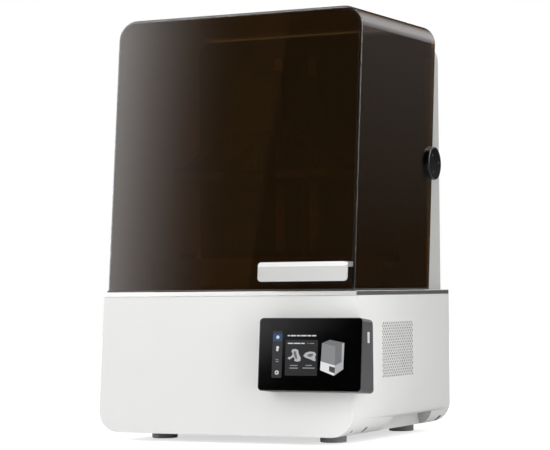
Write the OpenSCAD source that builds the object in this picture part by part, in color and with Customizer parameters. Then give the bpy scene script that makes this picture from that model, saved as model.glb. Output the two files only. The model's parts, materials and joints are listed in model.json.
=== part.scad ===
// Resin printer with a flip-up smoked cover, millimetres.
// +X is to the right, +Y to the back, +Z up. The origin lies on the ground, under the middle of the deck.

/* [Base] */
// Width of the base
base_w = 354; // [340:1:380]
// Depth of the base at the deck
base_d = 304; // [296:1:330]
// Height of the base without its feet and deck
base_h = 171; // [168:1:200]
// Wall of the base shell
base_wall = 3; // [2:0.5:5]
// Radius of the two lower corners
base_corner_r = 28.5; // [20:0.5:35]
// How far the front leans back, in degrees
front_lean = 5.67; // [3:0.1:7]
// Thickness of the front panel
front_t = 5; // [3:0.5:8]
// Thickness of the rear panel
rear_t = 3; // [2:0.5:5]
// Height of the feet
foot_h = 10.5; // [8:0.5:14]
// Radius of a foot
foot_r = 16.5; // [12:0.5:20]
// Distance between the left and right feet
foot_span_x = 239; // [200:1:260]
// Distance between the front and rear feet
foot_span_y = 218; // [200:1:226]
// Middle of the feet behind the middle of the deck
foot_y = 11; // [5:1:16]

/* [Vents and hand recesses] */
// Diameter of one hole of the side vent
vent_hole_d = 3.1; // [2:0.1:3.4]
// Distance between the side vent's columns
vent_pitch = 3; // [2.5:0.1:4]
// Number of hole columns in the side vent
vent_columns = 33; // [16:1:40]
// Number of hole rows in the side vent
vent_rows = 10; // [6:1:12]
// Middle of the side vent, front to back
vent_y = -25.5; // [-40:0.5:0]
// Middle of the side vent above the ground
vent_z = 113.5; // [100:0.5:124]
// Length of a hand recess along its upper edge
recess_l = 128; // [100:1:140]
// Height of a hand recess above the base's underside
recess_h = 18.5; // [12:0.5:22]
// Depth of a hand recess into the side
recess_depth = 22; // [18:1:24]
// Middle of the hand recess, front to back
recess_y = 25; // [10:1:35]

/* [Deck and cover] */
// Thickness of the metal deck
deck_t = 6; // [4:0.5:10]
// Height of the cover from the deck to its top
cover_h = 352; // [350:1:380]
// Thickness of the smoked sheet
cover_t = 4; // [3:0.5:5]
// Step in from the base's side to the cover's side
cover_inset = 4.3; // [3:0.1:6]
// Radius of the two upper corners
cover_corner_r = 25.5; // [15:0.5:32]
// Depth of the cover at the deck
cover_d = 243; // [235:1:250]
// Height of the pale trim along the cover's lower edge
trim_h = 2; // [1:0.5:6]

/* [Cover hinge] */
// Height of the hinge axis above the ground
hinge_z = 354.5; // [349:0.5:360]
// Hinge axis behind the middle of the deck
hinge_y = 108; // [104:1:112]
// Radius of the hinge pin
hinge_pin_r = 6; // [4:0.5:8]
// Radius of the hinge knob
knob_r = 22.2; // [16:0.1:25]
// Thickness of the hinge knob
knob_t = 4.7; // [3:0.1:9]

/* [Handle] */
// Width of the handle
handle_w = 119.5; // [90:0.5:140]
// Height of the handle's front plate
handle_h = 23.6; // [18:0.1:35]
// How far the handle stands out from the cover
handle_reach = 18.5; // [14:0.5:22]
// Thickness of the handle's front plate
handle_t = 3.5; // [3:0.5:5]
// Thickness of the handle's upper bar
handle_top_t = 6; // [4:0.5:9]
// Gap from the handle's right end to the cover's side
handle_edge = 1.7; // [1:0.1:40]
// Lower edge of the handle above the deck
handle_z = 10.2; // [8:0.1:30]

/* [Rear housing] */
// Step in from the base's side to the housing's side
housing_inset = 11; // [10.6:0.1:14]
// Height of the rear housing above the deck
housing_h = 329; // [325:1:335]
// Wall of the rear housing
housing_wall = 3; // [2:0.5:4]
// Front of the rear housing behind the middle of the deck
housing_y = 92; // [90:1:95]
// Radius of the rear housing's upper corners
housing_corner_r = 22; // [15:0.5:28]
// Side of the square air grille
grille_w = 52; // [40:1:60]
// Distance from the housing's left side to the grille's middle
grille_edge = 63; // [50:1:75]
// Middle of the air grille above the deck
grille_z = 78; // [60:1:100]

/* [Touchscreen] */
// Width of the screen module
screen_w = 136.8; // [110:0.1:150]
// Height of the screen module
screen_h = 88.3; // [70:0.1:100]
// Thickness of the screen module at its top
screen_t = 29.3; // [26:0.1:40]
// How far the module's right end passes the base's side
screen_overhang = 22; // [5:0.5:30]
// Top of the screen module above the ground
screen_top = 155.2; // [146:0.1:164]
// Thickness of the front glass
glass_t = 2; // [1:0.5:3]
// Thickness of the display behind the glass
display_t = 4; // [3:0.5:6]
// Wall of the screen housing
screen_wall = 2.5; // [2:0.5:4]

/* [Vat] */
// Gap between a vat lug and the cover's side
vat_gap = 10.7; // [6:0.1:16]
// Depth of the vat
vat_d = 162; // [156:1:166]
// Height of the vat
vat_h = 42; // [36:1:46]
// Wall of the vat at its rim
vat_wall = 5; // [4:0.5:8]
// Middle of the vat, front to back
vat_y = -31; // [-34:0.5:-29]
// Thickness of the film frame under the vat
film_frame_t = 4; // [3:0.5:6]
// Thickness of the release film
film_t = 0.6; // [0.4:0.1:1]
// Height of the vat's side lugs above the deck
lug_z = 29; // [22:1:32]
// Thickness of a lug
lug_t = 8; // [5:0.5:9]
// How far a lug stands out from the vat
lug_reach = 22; // [18:0.5:24]
// Radius of a thumbscrew's head
thumb_r = 10; // [7:0.5:10]
// Height of a thumbscrew's head
thumb_h = 14; // [8:0.5:18]
// Radius of a thumbscrew's shaft
thumb_shaft_r = 3; // [2:0.5:4]

/* [Exposure unit] */
// Gap between the LCD's glass and the film frame, on the left and right
glass_gap = 1.5; // [0.5:0.5:12]
// Depth of the picture area
lcd_d = 127; // [110:1:130]
// Width of the LCD's border
lcd_border = 9; // [6:0.5:11]
// Thickness of the LCD
lcd_t = 2.4; // [1.5:0.1:3]
// Height of the light tunnel
tunnel_h = 72; // [60:1:80]
// Wall of the light tunnel
tunnel_wall = 3; // [2:0.5:4]
// Lamps across the LED board
led_columns = 8; // [4:1:10]
// Lamps from front to back on the LED board
led_rows = 5; // [3:1:6]
// Fins of the heat sink
fins = 15; // [8:1:20]
// Height of the heat sink's fins
fin_h = 22; // [15:1:30]
// Width of the cooling fans
fan_w = 80; // [60:1:92]
// Thickness of the cooling fans
fan_t = 20; // [15:1:25]

/* [Lift] */
// Width of the column
column_w = 72; // [66:1:90]
// Depth of the column
column_d = 30; // [29:1:34]
// Height of the column
column_h = 318; // [310:1:320]
// Wall of the column
column_wall = 5; // [4:0.5:6]
// Width of a linear rail
rail_w = 12; // [9:1:15]
// Depth of a linear rail
rail_d = 8; // [6:0.5:9]
// Distance between the rails' middles
rail_gap = 50; // [48:1:54]
// Radius of the lead screw
screw_r = 4; // [3:0.5:5]
// Side of the square motor
motor_w = 42.3; // [40:0.1:43]
// Height of the motor
motor_h = 48; // [34:1:60]

/* [Platform] */
// Underside of the build plates above the deck, as drawn
plate_z = 142; // [130:1:146]
// Thickness of a build plate
plate_t = 12; // [8:1:16]
// Width of one build plate
plate_w = 73; // [60:1:74]
// Depth of a build plate
plate_d = 110; // [95:1:120]
// Gap between the two build plates
plate_gap = 74; // [72:1:90]
// Height of the wings over the build plates
wing_h = 50; // [40:1:52]
// Thickness of the bridge over the wings
bridge_t = 13; // [10:1:16]
// Width of the clamp block
clamp_w = 72; // [60:1:74]
// Depth of the clamp block
clamp_d = 80; // [70:1:84]
// Height of the clamp block
clamp_h = 58; // [50:1:60]
// Radius of the clamp knob
clamp_knob_r = 25; // [18:1:28]
// Height of the clamp knob
clamp_knob_h = 10; // [7:0.5:12]

/* [Hidden] */

$fn = 48;
fit = 0.3;           // clearance at a loose seat
run = 0.05;          // radial running clearance
past = 1;            // how far a cut runs past a face
white = "#ebebe9";
satin = "#a9a9a7";
black = "#1c1c1d";
smoke = "#3a2d26";

base_z = foot_h;
seam_z = base_z + base_h;
deck_z = seam_z + deck_t;
front_y = -base_d / 2;
rear_y = base_d / 2;
floor_z = base_z + base_wall;
tan_lean = tan(front_lean);
function front_at(z) = front_y + (z - seam_z) * tan_lean;

cover_w = base_w - 2 * cover_inset;
cover_z = deck_z + fit;
cover_top = deck_z + cover_h;
cover_inner_w = cover_w - 2 * cover_t;

housing_w = base_w - 2 * housing_inset;
housing_top = deck_z + housing_h;
bulkhead_gap = 3.5;   // between the housing's front and the cover over it
bulkhead_top = cover_top - cover_t - bulkhead_gap;

column_y = housing_y - column_d;
column_top = deck_z + column_h;
screw_y = column_y + column_d / 2;
rail_front = column_y - rail_d;

handle_x = cover_w / 2 - handle_w / 2 - handle_edge;
grille_x = housing_w / 2 - grille_edge;

vat_w = cover_inner_w - 2 * (vat_gap + lug_reach);
film_inset = 4;
film_frame_w = 10;
lcd_w = vat_w - 2 * (film_inset + film_frame_w + glass_gap + lcd_border);

lcd_top = deck_z;
tunnel_top = seam_z - lcd_t;
tunnel_z = tunnel_top - tunnel_h;
board_t = 3;
board_z = tunnel_z - board_t;
sink_base = 5;
sink_z = board_z - sink_base - fin_h;
fan_z = sink_z - fan_t;
tunnel_w = lcd_w + 2 * tunnel_wall;
tunnel_d = lcd_d + 2 * tunnel_wall;
fan_hub_r = 15;
fan_pin_r = 1.5;

film_z = deck_z + fit + film_frame_t;
vat_z = film_z + film_t;
vat_top = deck_z + vat_h;
lug_base = deck_z + lug_z;
thumb_x = vat_w / 2 + lug_reach / 2;
lug_back = 52;
thumb_y = vat_y + lug_back;
post_w = lug_reach - 4;

plate_base = deck_z + plate_z;
plate_top = plate_base + plate_t;
bridge_z = plate_top + wing_h;
clamp_z = bridge_z + bridge_t;
clamp_top = clamp_z + clamp_h;
clamp_lead = 30;
clamp_y = vat_y - clamp_lead + clamp_d / 2;
carriage_h = 92;
carriage_z = clamp_top - carriage_h + 10;
block_d = 13;
carriage_t = 8;
carriage_y = column_y - 1 - block_d - carriage_t;

vent_row = vent_pitch * 4 / sqrt(3);
panel_boss_r = 5;
panel_boss_l = 12;
panel_screw_r = 1.5;
panel_screw_l = 10;
panel_head_r = 3.3;
panel_head_h = 2;
panel_screw_up = 46;
panel_screw_down = 20;
panel_screw_low = base_z + panel_screw_up;
panel_screw_high = seam_z - panel_screw_down;
panel_boss_in = 2;
intake_hole_d = 5;
intake_rings = [10, 18, 26];
slot_n = 10;
slot_pitch = 9;
slot_open = 4;
slot_h = 42;
slot_drop = 70;
cable_w = 40;
cable_h = 16;

inlet_w = 28;
inlet_h = 48;
inlet_edge = 59;
inlet_x = base_w / 2 - inlet_edge;
inlet_up = 58;
inlet_z = base_z + inlet_up;
inlet_flange = 2;
inlet_depth = 18;
socket_drop = 11;
rocker_w = 18;
rocker_l = 15;
rocker_rise = 12;
rocker_depth = 2;
rocker_pin_r = 1.2;
rocker_tilt = 8;

lcd_glass_t = 2.2;
glass_w = lcd_w + 2 * lcd_border;
glass_d = lcd_d + 2 * lcd_border;
ledge_w = 3;
ledge_h = 8;
lens_t = 3;
fin_w = 1.5;
standoff_h = 8;
board_w = 130;
board_d = 84;
board_gap = 3;
board_x = -base_w / 2 + recess_depth + base_wall + board_gap;
board_rear = 20;
board_y = rear_y - board_rear - board_d;
connector = [15, 9, 11];
connector_pitch = 21;
chip = [32, 32, 7];
chip_at = [45, 34];
can_r = 5;
can_h = 16;
can_pitch = 12;
can_at = [96, 60];
supply_w = 118;
supply_d = 78;
supply_h = 38;
supply_gap = 4;
supply_x = base_w / 2 - recess_depth - base_wall - supply_gap - supply_w;
supply_rear = 8;
supply_y = rear_y - inlet_depth - supply_rear - supply_d;

screen_x = base_w / 2 + screen_overhang - screen_w / 2;
screen_y = front_at(screen_top) - screen_t;
screen_corner_r = 5;
screen_rim = 0.6;
cavity_depth = screen_t - 9;
usb_in = 16.1;
usb_drop = 24;
usb_w = 13;
usb_t = 6;
usb_l = 16;

grille_step = 4;
grille_hole = 2.9;
grille_n = floor(grille_w / 2 / grille_step);
outlet_n = 12;
outlet_pitch = 6;
outlet_open = 3;
outlet_h = 60;
filter_w = grille_w + 8;
filter_t = 12;
chamber_fan_t = 15;
bearing_r = 9;
bearing_x = housing_w / 2 - 16;
knob_edge = 1.5;
handle_corner_r = 4.5;

slot_w = 28;
cap_t = 6;
rail_up = 54;
rail_z = deck_z + rail_up;
pilot_r = 11;
shaft_r = 2.5;
coupling_z = deck_z + 3;
coupling_r = 8;
coupling_h = 24;
block_w = 26;
block_h = 30;
block_y = column_y - 1 - block_d;
nut_r = 9;
nut_h = 18;
nut_arm_w = 20;
clamp_pin_r = 5;
clamp_pin_l = 18;
clamp_pin_play = 2;
rib_h = 4;
rib_depth = 2;
rib_pitch = 10;
rib_edge = 8;
rib_low = 7;
scallop_r = 3.5;
scallop_out = 1.5;
bridge_w = clamp_w + 12;
wing_bar = 6;
vat_corner_r = 14;
thumb_reach = 14;

// Stretches a shape in (x, z) from y0 back to y1.
module along_y(y0, y1)
    translate([0, y1, 0])
        rotate([90, 0, 0])
            linear_extrude(y1 - y0)
                children();

// Places its children in the leaning plane through the front of the deck's seam.
module leaning(lean = front_lean)
    translate([0, front_y, seam_z])
        rotate([-lean, 0, 0])
            children();

// A slab parallel to the front, from y0 to y1 behind it.
module lean_slab(y0, y1)
    leaning()
        translate([-base_w, y0, -base_w])
            cube([2 * base_w, y1 - y0, 3 * base_w]);

// A rectangle whose corners are rounded only at the bottom, or only at the top.
module tub(w, z0, z1, r)
    union() {
        translate([-w / 2, z0 + r]) square([w, z1 - z0 - r]);
        translate([-w / 2 + r, z0]) square([w - 2 * r, r]);
        for (side = [-1, 1])
            translate([side * (w / 2 - r), z0 + r]) circle(r);
    }

module arch(w, z0, z1, r)
    mirror([0, 1]) tub(w, -z1, -z0, r);

// A rectangle with four round corners.
module rounded(w, h, r)
    union() {
        square([w - 2 * r, h], center = true);
        square([w, h - 2 * r], center = true);
        for (x = [-1, 1], y = [-1, 1])
            translate([x * (w / 2 - r), y * (h / 2 - r)]) circle(r);
    }

module at_feet()
    for (x = [-1, 1], y = [-1, 1])
        translate([x * foot_span_x / 2, foot_y + y * foot_span_y / 2, 0])
            children();

// ---- Base ----

// The hand recesses, larger by grow on their closed sides.
module recess_cut(grow)
    for (side = [0, 1])
        mirror([side, 0, 0])
            translate([base_w / 2 - recess_depth - grow, 0, 0])
                rotate([90, 0, 90])
                    linear_extrude(recess_depth + grow + past)
                        polygon([
                            [recess_y - recess_l / 2 - recess_h / 2 - grow, base_z - past],
                            [recess_y + recess_l / 2 + recess_h / 2 + grow, base_z - past],
                            [recess_y + recess_l / 2 + grow, base_z + recess_h + grow],
                            [recess_y - recess_l / 2 - grow, base_z + recess_h + grow]]);

module side_vent()
    for (c = [0 : vent_columns - 1], r = [0 : vent_rows - 1])
        translate([0,
                vent_y + (c - (vent_columns - 1) / 2) * vent_pitch,
                vent_z + (r - (vent_rows - 1) / 2 + (c % 2 - 0.5) / 2) * vent_row])
            rotate([0, 90, 0])
                cylinder(d = vent_hole_d, h = base_w + 2 * past, center = true, $fn = 24);

module base_outline()
    tub(base_w, base_z, seam_z, base_corner_r);

module at_panel_screws()
    for (x = [-1, 1], z = [panel_screw_low, panel_screw_high])
        translate([x * (base_w / 2 - panel_boss_r - panel_boss_in), rear_y, z])
            rotate([90, 0, 0])
                children();

module base_shell()
    color(white)
        difference() {
            union() {
                difference() {
                    along_y(front_y - base_w / 4, rear_y - rear_t) base_outline();
                    along_y(front_y - base_w / 4 - past, rear_y)
                        tub(base_w - 2 * base_wall, floor_z, seam_z + past, base_corner_r - base_wall);
                }
                intersection() {
                    along_y(front_y, rear_y - rear_t) base_outline();
                    recess_cut(base_wall);
                }
                at_panel_screws()
                    translate([0, 0, rear_t]) cylinder(r = panel_boss_r, h = panel_boss_l);
            }
            lean_slab(-base_w, front_t);
            recess_cut(0);
            side_vent();
            at_panel_screws()
                cylinder(r = panel_screw_r + run, h = rear_t + panel_screw_l, $fn = 24);
            for (a = [0 : 45 : 315], r = intake_rings)
                translate([r * cos(a), vat_y + r * sin(a), base_z - past])
                    cylinder(d = intake_hole_d, h = base_wall + 2 * past, $fn = 24);
        }

module front_panel()
    color(white)
        difference() {
            intersection() {
                along_y(front_y - base_w / 4, rear_y) base_outline();
                lean_slab(0, front_t);
            }
            translate([screen_x - cable_w / 2, front_y - base_w / 4, screen_top - screen_h / 2 - cable_h / 2])
                cube([cable_w, base_w / 2, cable_h]);
        }

module rear_panel()
    color(white)
        difference() {
            along_y(rear_y - rear_t, rear_y) base_outline();
            translate([inlet_x - inlet_w / 2, rear_y - rear_t - past, inlet_z - inlet_h / 2])
                cube([inlet_w, rear_t + 2 * past, inlet_h]);
            at_panel_screws()
                translate([0, 0, -past])
                    cylinder(r = panel_screw_r + run, h = rear_t + 2 * past, $fn = 24);
            for (i = [0 : slot_n - 1])
                translate([-base_w / 3 + i * slot_pitch, rear_y - rear_t - past, seam_z - slot_drop])
                    cube([slot_open, rear_t + 2 * past, slot_h]);
        }

module feet()
    color("#3a3a3c")
        at_feet() {
            cylinder(r = foot_r, h = foot_h);
        }

module panel_screws()
    color(satin)
        at_panel_screws() {
            translate([0, 0, -panel_head_h]) cylinder(r = panel_head_r, h = panel_head_h, $fn = 24);
            cylinder(r = panel_screw_r, h = rear_t + panel_screw_l - past, $fn = 24);
        }

module deck_plate()
    color(satin)
        difference() {
            intersection() {
                translate([-base_w / 2, front_y - base_w / 4, seam_z])
                    cube([base_w, base_d + base_w / 4, deck_t]);
                lean_slab(0, 2 * base_d);
            }
            translate([-lcd_w / 2, vat_y - lcd_d / 2, seam_z - past])
                cube([lcd_w, lcd_d, deck_t + 2 * past]);
            translate([-glass_w / 2 - run, vat_y - glass_d / 2 - run, lcd_top - lcd_glass_t])
                cube([glass_w + 2 * run, glass_d + 2 * run, lcd_glass_t + past]);
            translate([0, screw_y, seam_z - past])
                cylinder(r = pilot_r + fit, h = deck_t + 2 * past);
        }

// ---- Electronics ----

module lcd_glass()
    color("#15171c")
        translate([-glass_w / 2, vat_y - glass_d / 2, lcd_top - lcd_glass_t])
            cube([glass_w, glass_d, lcd_glass_t]);

module lcd_panel()
    color("#101014")
        translate([-glass_w / 2, vat_y - glass_d / 2, seam_z - lcd_t])
            cube([glass_w, glass_d, lcd_t]);

module light_tunnel()
    color(black)
        difference() {
            translate([-tunnel_w / 2, vat_y - tunnel_d / 2, tunnel_z])
                cube([tunnel_w, tunnel_d, tunnel_h]);
            translate([-lcd_w / 2, vat_y - lcd_d / 2, tunnel_z + ledge_h])
                cube([lcd_w, lcd_d, tunnel_h]);
            translate([-lcd_w / 2 + ledge_w, vat_y - lcd_d / 2 + ledge_w, tunnel_z - past])
                cube([lcd_w - 2 * ledge_w, lcd_d - 2 * ledge_w, tunnel_h]);
        }

module lens_sheet()
    color("#c9d2d8")
        translate([-lcd_w / 2 + fit, vat_y - lcd_d / 2 + fit, tunnel_z + ledge_h])
            cube([lcd_w - 2 * fit, lcd_d - 2 * fit, lens_t]);

module led_board()
    color("#e8e8e4") {
        translate([-tunnel_w / 2, vat_y - tunnel_d / 2, board_z])
            cube([tunnel_w, tunnel_d, board_t]);
        for (c = [0 : led_columns - 1], r = [0 : led_rows - 1])
            translate([
                    (c - (led_columns - 1) / 2) * (lcd_w - 2 * ledge_w) / led_columns,
                    vat_y + (r - (led_rows - 1) / 2) * (lcd_d - 2 * ledge_w) / led_rows,
                    board_z])
                cylinder(r = 4, h = board_t + ledge_h / 2, $fn = 24);
    }

module heat_sink()
    color("#9a9ca0") {
        translate([-lcd_w / 2, vat_y - lcd_d / 2, board_z - sink_base])
            cube([lcd_w, lcd_d, sink_base]);
        for (i = [0 : fins - 1])
            translate([-lcd_w / 2 + i * (lcd_w - fin_w) / (fins - 1), vat_y - lcd_d / 2, sink_z])
                cube([fin_w, lcd_d, fin_h + past]);
    }

// A square fan that blows along Z, its back at z = 0.
module fan_frame(w, t) {
    difference() {
        translate([-w / 2, -w / 2, 0]) cube([w, w, t]);
        translate([0, 0, -past]) cylinder(r = w / 2 - 2, h = t + 2 * past);
        for (x = [-1, 1], y = [-1, 1])
            translate([x * (w / 2 - 4.5), y * (w / 2 - 4.5), -past])
                cylinder(r = 1.8, h = t + 2 * past, $fn = 24);
    }
    for (a = [45 : 90 : 315])
        rotate([0, 0, a])
            translate([0, -1.5, 0]) cube([w / 2, 3, 2]);
    cylinder(r = fan_hub_r - 1, h = 2);
    cylinder(r = fan_pin_r, h = t - 4, $fn = 24);
}

module fan_rotor(w, t)
    difference() {
        union() {
            translate([0, 0, 3]) cylinder(r = fan_hub_r, h = t - 5);
            for (i = [0 : 6])
                rotate([0, 0, i * 360 / 7])
                    translate([fan_hub_r - 2, 0, t / 2 + 0.5])
                        rotate([38, 0, 0])
                            translate([0, -(t - 7) / 2, -0.7])
                                cube([w / 2 - fan_hub_r - 1.5, t - 7, 1.4]);
        }
        translate([0, 0, 2]) cylinder(r = fan_pin_r + run, h = t, $fn = 24);
    }

module exposure_fan_frame()
    color(black) translate([0, vat_y, fan_z]) fan_frame(fan_w, fan_t);

module exposure_fan_rotor()
    color("#2a2a2c") translate([0, vat_y, fan_z]) fan_rotor(fan_w, fan_t);

module at_standoffs()
    for (x = [4, board_w - 4], y = [4, board_d - 4])
        translate([board_x + x, board_y + y, floor_z])
            children();

module board_standoffs()
    color("#c9a85a") at_standoffs() cylinder(r = 2.8, h = standoff_h, $fn = 24);

module mainboard()
    color("#1f5b3a") {
        translate([board_x, board_y, floor_z + standoff_h]) cube([board_w, board_d, 1.6]);
        for (i = [0 : 4])
            translate([board_x + 12 + i * connector_pitch, board_y + 8, floor_z + standoff_h])
                cube(connector);
        translate([board_x + chip_at.x, board_y + chip_at.y, floor_z + standoff_h]) cube(chip);
        for (i = [0 : 2])
            translate([board_x + can_at.x + i * can_pitch, board_y + can_at.y, floor_z + standoff_h])
                cylinder(r = can_r, h = can_h, $fn = 24);
    }

module power_supply()
    color("#b7b9bb")
        difference() {
            translate([supply_x, supply_y, floor_z]) cube([supply_w, supply_d, supply_h]);
            for (i = [0 : 8], j = [0 : 4])
                translate([supply_x + 14 + i * 11.5, supply_y + 14 + j * 12, floor_z + supply_h - 2])
                    cylinder(d = 6, h = 2 + past, $fn = 24);
        }

module rocker_frame()
    translate([inlet_x, rear_y - rocker_depth, inlet_z + rocker_rise])
        children();

module power_inlet()
    color("#232325")
        difference() {
            union() {
                translate([inlet_x - inlet_w / 2 - 3, rear_y, inlet_z - inlet_h / 2 - 3])
                    cube([inlet_w + 6, inlet_flange, inlet_h + 6]);
                translate([inlet_x - inlet_w / 2 + fit, rear_y - inlet_depth, inlet_z - inlet_h / 2 + fit])
                    cube([inlet_w - 2 * fit, inlet_depth + past, inlet_h - 2 * fit]);
            }
            difference() {
                translate([inlet_x - 11, rear_y - 11, inlet_z - socket_drop - 7.5])
                    cube([22, 20, 15]);
                for (x = [-7, 0, 7])
                    translate([inlet_x + x - 1, rear_y - 12, inlet_z - socket_drop - (x == 0 ? 1 : 3)])
                        cube([2, 7, 4]);
            }
            rocker_frame() {
                translate([-rocker_w / 2 - fit, -7, -rocker_l / 2 - 1.2])
                    cube([rocker_w + 2 * fit, 30, rocker_l + 2.4]);
                rotate([0, 90, 0])
                    cylinder(r = rocker_pin_r + run, h = rocker_w + 5 + run, center = true, $fn = 24);
            }
        }

module power_rocker()
    color("#b0262a")
        rocker_frame()
            rotate([-rocker_tilt, 0, 0]) {
                rotate([0, 90, 0])
                    cylinder(r = rocker_pin_r, h = rocker_w + 5, center = true, $fn = 24);
                rotate([0, 90, 0]) cylinder(r = 4.5, h = rocker_w, center = true, $fn = 32);
                translate([-rocker_w / 2, 2, -rocker_l / 2]) cube([rocker_w, 3.6, rocker_l]);
            }

// ---- Touchscreen ----

// The screen's own frame: y into the module, z up its leaning glass, from the top's middle.
module on_screen()
    translate([screen_x, screen_y, screen_top])
        rotate([-front_lean, 0, 0])
            children();

module screen_block(inset, y0, y1)
    translate([0, 0, -screen_h / 2])
        along_y(y0, y1)
            rounded(screen_w - 2 * inset, screen_h - 2 * inset, screen_corner_r - min(inset, 3));

module usb_place()
    translate([base_w / 2 + screen_overhang, screen_y + usb_in, screen_top - usb_drop])
        children();

module screen_housing()
    color("#4b4c4f")
        difference() {
            on_screen() screen_block(0, 0, 2 * screen_t);
            translate([0, screen_y + screen_t, 0]) cube([2 * base_w, base_d, 2 * base_h]);
            intersection() {
                along_y(front_y - base_w / 4, rear_y) base_outline();
                lean_slab(0, base_d);
            }
            on_screen() {
                screen_block(screen_rim, -past, glass_t);
                screen_block(screen_wall, glass_t - past, cavity_depth);
            }
            usb_place()
                translate([-usb_l - 4, -usb_t / 2 - fit, -usb_w / 2 - fit])
                    cube([usb_l + 4 + past, usb_t + 2 * fit, usb_w + 2 * fit]);
        }

module screen_glass()
    color("#0b0b0d") on_screen() screen_block(screen_rim + run, 0, glass_t);

module display_panel()
    color("#1b2230") on_screen() screen_block(screen_wall + fit, glass_t, glass_t + display_t);

module usb_socket()
    color("#d9dadb")
        usb_place()
            difference() {
                translate([-usb_l, -usb_t / 2, -usb_w / 2]) cube([usb_l, usb_t, usb_w]);
                difference() {
                    translate([-usb_l + 2, -usb_t / 2 + 0.5, -usb_w / 2 + 0.5])
                        cube([usb_l, usb_t - 1, usb_w - 1]);
                    translate([-usb_l + 1, usb_t / 2 - 1.6, -usb_w / 2 + 1.5])
                        cube([usb_l - 3, 1.4, usb_w - 3]);
                }
            }

// ---- Rear housing ----

module grille_cut()
    translate([-grille_x, housing_y, deck_z + grille_z])
        rotate([-90, 0, 0])
            for (i = [-grille_n : grille_n], j = [-grille_n : grille_n])
                if ((i + j) % 2 == 0)
                    translate([i * grille_step, j * grille_step, -past])
                        cylinder(r = grille_hole, h = housing_wall + 2 * past, $fn = 4);

module at_hinge()
    for (side = [0, 1])
        mirror([side, 0, 0])
            translate([0, hinge_y, hinge_z])
                rotate([0, 90, 0])
                    children();

module rear_housing()
    color("#d4d4d2")
        difference() {
            along_y(housing_y + housing_wall, rear_y)
                arch(housing_w, deck_z, housing_top, housing_corner_r);
            along_y(housing_y, rear_y - housing_wall)
                arch(housing_w - 2 * housing_wall, deck_z - past, housing_top - housing_wall,
                    housing_corner_r - housing_wall);
            at_hinge() cylinder(r = bearing_r + run, h = base_w);
            for (i = [0 : outlet_n - 1])
                translate([
                        -grille_x + (i - (outlet_n - 1) / 2) * outlet_pitch - outlet_open / 2,
                        rear_y - housing_wall - past,
                        deck_z + grille_z - outlet_h / 2])
                    cube([outlet_open, housing_wall + 2 * past, outlet_h]);
        }

module housing_front()
    color("#2b2b2d")
        difference() {
            along_y(housing_y, housing_y + housing_wall)
                arch(housing_w, deck_z, bulkhead_top, cover_corner_r - cover_t - bulkhead_gap);
            grille_cut();
        }

module air_filter()
    color("#55575a")
        translate([-grille_x - filter_w / 2, housing_y + housing_wall, deck_z + grille_z - filter_w / 2])
            cube([filter_w, filter_t, filter_w]);

module chamber_fan()
    translate([-grille_x, housing_y + housing_wall + filter_t, deck_z + grille_z])
        rotate([-90, 0, 0])
            children();

module chamber_fan_frame()
    color(black) chamber_fan() fan_frame(filter_w, chamber_fan_t);

module chamber_fan_rotor()
    color("#2a2a2c") chamber_fan() fan_rotor(filter_w, chamber_fan_t);

module hinge_bearings()
    color("#5a5b5e")
        at_hinge()
            difference() {
                union() {
                    translate([0, 0, bearing_x]) cylinder(r = bearing_r, h = housing_w / 2 - bearing_x);
                    translate([0, 0, housing_w / 2])
                        cylinder(r = knob_r - 2, h = cover_w / 2 - cover_t - fit - housing_w / 2);
                }
                translate([0, 0, bearing_x - past]) cylinder(r = hinge_pin_r + run, h = base_w);
            }

// ---- Lift ----

module z_column()
    color("#8d8f92")
        difference() {
            translate([-column_w / 2, column_y, deck_z]) cube([column_w, column_d, column_h]);
            translate([-column_w / 2 + column_wall, column_y + column_wall, deck_z - past])
                cube([column_w - 2 * column_wall, column_d - 2 * column_wall, column_h + 2 * past]);
            translate([-slot_w / 2, column_y - past, deck_z - past])
                cube([slot_w, column_wall + 2 * past, column_h + 2 * past]);
        }

module linear_rails()
    color("#c6c8ca")
        for (x = [-1, 1])
            translate([x * rail_gap / 2 - rail_w / 2, rail_front, rail_z])
                cube([rail_w, rail_d, column_top - cap_t - rail_z]);

module column_cap()
    color("#3b3c3f")
        difference() {
            translate([-column_w / 2, column_y, column_top]) cube([column_w, column_d, cap_t]);
            translate([0, screw_y, column_top - past]) cylinder(r = screw_r + run, h = cap_t + 2 * past);
        }

module z_motor()
    color("#2e2f32")
        difference() {
            union() {
                translate([-motor_w / 2, screw_y - motor_w / 2, seam_z - motor_h])
                    cube([motor_w, motor_w, motor_h]);
                translate([0, screw_y, seam_z - past]) cylinder(r = pilot_r, h = 2 + past);
            }
            translate([0, screw_y, seam_z - motor_h / 2])
                cylinder(r = shaft_r + run, h = motor_h);
        }

module screw_coupling()
    color("#b4b6b9")
        difference() {
            translate([0, screw_y, 0]) {
                translate([0, 0, coupling_z]) cylinder(r = coupling_r, h = coupling_h);
                translate([0, 0, seam_z - motor_h / 2 + past])
                    cylinder(r = shaft_r, h = coupling_z - seam_z + motor_h / 2);
            }
            translate([0, screw_y, coupling_z + coupling_h / 2])
                cylinder(r = screw_r + run / 2, h = coupling_h);
        }

module lead_screw()
    color("#cfd1d3")
        translate([0, screw_y, coupling_z + coupling_h / 2])
            cylinder(r = screw_r, h = column_top + cap_t - coupling_z - coupling_h / 2);

module bearing_blocks()
    color("#b9bbbd")
        for (x = [-1, 1], z = [carriage_z + 6, carriage_z + carriage_h - 6 - block_h])
            difference() {
                translate([x * rail_gap / 2 - block_w / 2, block_y, z])
                    cube([block_w, block_d, block_h]);
                translate([x * rail_gap / 2 - rail_w / 2 - fit, rail_front - fit, z - past])
                    cube([rail_w + 2 * fit, block_d, block_h + 2 * past]);
            }

module carriage_plate()
    color("#77797c")
        translate([-column_w / 2 - 3, carriage_y, carriage_z])
            cube([column_w + 6, carriage_t, carriage_h]);

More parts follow.
